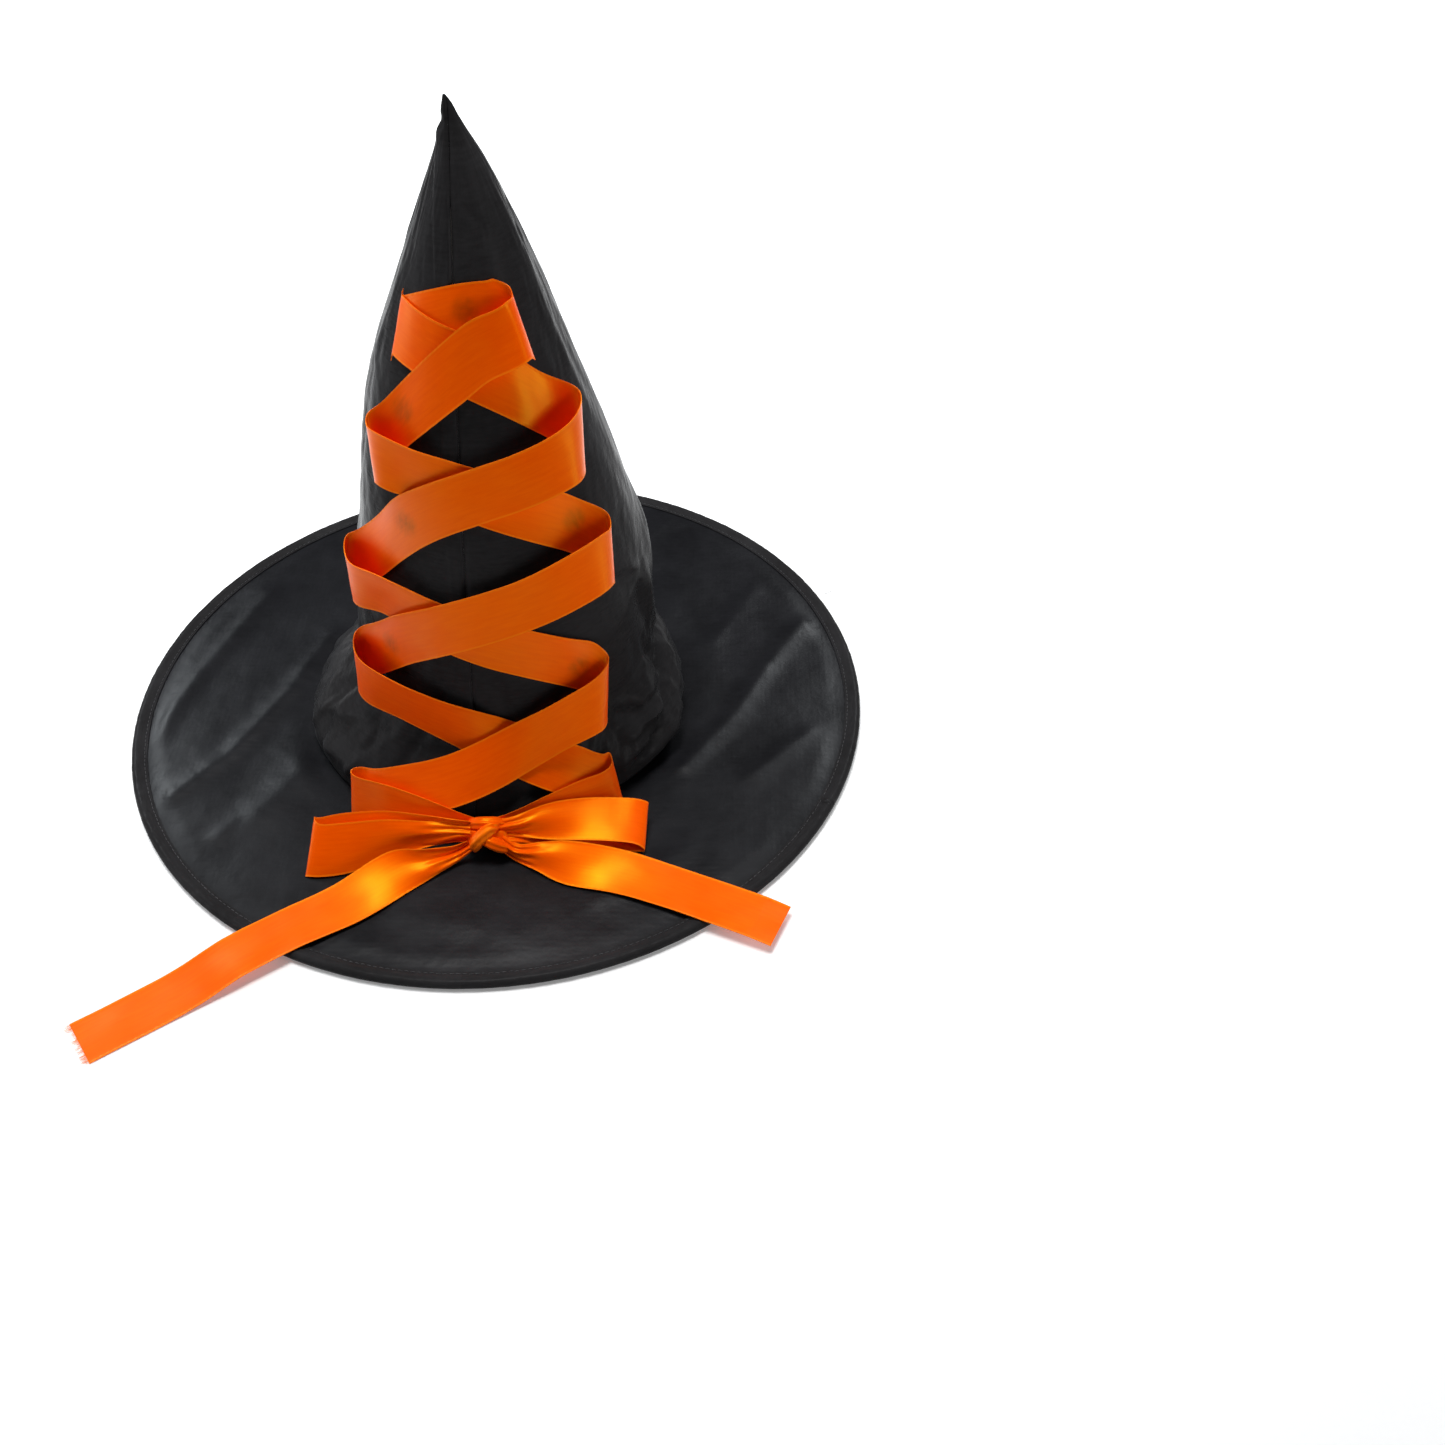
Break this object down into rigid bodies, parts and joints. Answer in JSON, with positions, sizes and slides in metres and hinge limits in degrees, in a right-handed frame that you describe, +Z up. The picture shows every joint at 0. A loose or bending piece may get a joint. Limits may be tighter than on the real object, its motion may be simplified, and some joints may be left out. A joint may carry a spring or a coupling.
{
  "type": "witch hat",
  "caption": "Pointed black satin costume hat with a wide wired brim, criss-cross ribbon lacing up the front of the crown and a ribbon bow with two long tails.",
  "frame": {"origin": "centre of the head opening, in the plane that the wired edge of the brim rests on", "axes": "+Z up along the head opening's axis, the laced front faces -Y, the wearer's left is +X"},
  "size_m": [0.38, 0.4172, 0.325],
  "materials": {
    "satin": "black polyester satin, soft sheen",
    "lining": "black polyester lining, matte",
    "interlining": "bonded needle felt, off-white",
    "grosgrain": "ribbed black tape",
    "ribbon": "single-faced satin ribbon, bright sheen",
    "spring_wire": "drawn spring steel",
    "crimp_tube": "plain drawn tube",
    "hot_glue": "translucent hot-melt glue"
  },
  "bodies": {
    "hat": {"crown_panel_left": "satin", "crown_panel_right": "satin", "crown_stiffener": "interlining", "brim_top_fabric": "satin", "brim_interlining": "interlining", "brim_underside_fabric": "lining", "brim_edge_binding": "satin", "brim_hoop_wire": "spring_wire", "hoop_joiner": "crimp_tube", "sweatband": "grosgrain", "glue_dots": "hot_glue", "lacing_top": "ribbon", "lacing_over_1": "ribbon", "lacing_under_1": "ribbon", "lacing_over_2": "ribbon", "lacing_under_2": "ribbon", "lacing_over_3": "ribbon", "lacing_under_3": "ribbon", "lacing_over_4": "ribbon", "lacing_under_4": "ribbon", "bow_leg_left": "ribbon", "bow_leg_right": "ribbon", "bow_knot": "ribbon"},
    "tip": {"crown_tip": "satin"},
    "loop_left": {"bow_loop_left": "ribbon"},
    "loop_right": {"bow_loop_right": "ribbon"},
    "tail_left": {"tail_left": "ribbon"},
    "tail_left_end": {"tail_left_end": "ribbon"},
    "tail_right": {"tail_right": "ribbon"},
    "tail_right_end": {"tail_right_end": "ribbon"}
  },
  "joints": [
    {"name": "tip_flop", "type": "hinge", "parent": "hat", "child": "tip", "pos_m": [0.0112, 0, 0.281], "axis": [0, 1, 0], "range_deg": [-40, 40], "stiffness_Nm_per_rad": 0.01},
    {"name": "loop_left_lift", "type": "hinge", "parent": "hat", "child": "loop_left", "pos_m": [-0.009, -0.108, 0.016], "axis": [0, 1, 0], "range_deg": [0, 60]},
    {"name": "loop_right_lift", "type": "hinge", "parent": "hat", "child": "loop_right", "pos_m": [0.017, -0.107, 0.016], "axis": [0, -1, 0], "range_deg": [0, 60]},
    {"name": "tail_left_lift", "type": "hinge", "parent": "hat", "child": "tail_left", "pos_m": [-0.0095, -0.1153, 0.0085], "axis": [-0.5861, 0.8102, 0], "range_deg": [0, 30]},
    {"name": "tail_left_droop", "type": "hinge", "parent": "tail_left", "child": "tail_left_end", "pos_m": [-0.1022, -0.17295, 0.006], "axis": [-0.5861, 0.8102, 0], "range_deg": [-60, 45]},
    {"name": "tail_right_lift", "type": "hinge", "parent": "hat", "child": "tail_right", "pos_m": [0.0175, -0.1151, 0.0085], "axis": [-0.4039, -0.9148, 0], "range_deg": [0, 30]},
    {"name": "tail_right_droop", "type": "hinge", "parent": "tail_right", "child": "tail_right_end", "pos_m": [0.1282, -0.1508, 0.006], "axis": [-0.4039, -0.9148, 0], "range_deg": [-75, 45]}
  ]
}
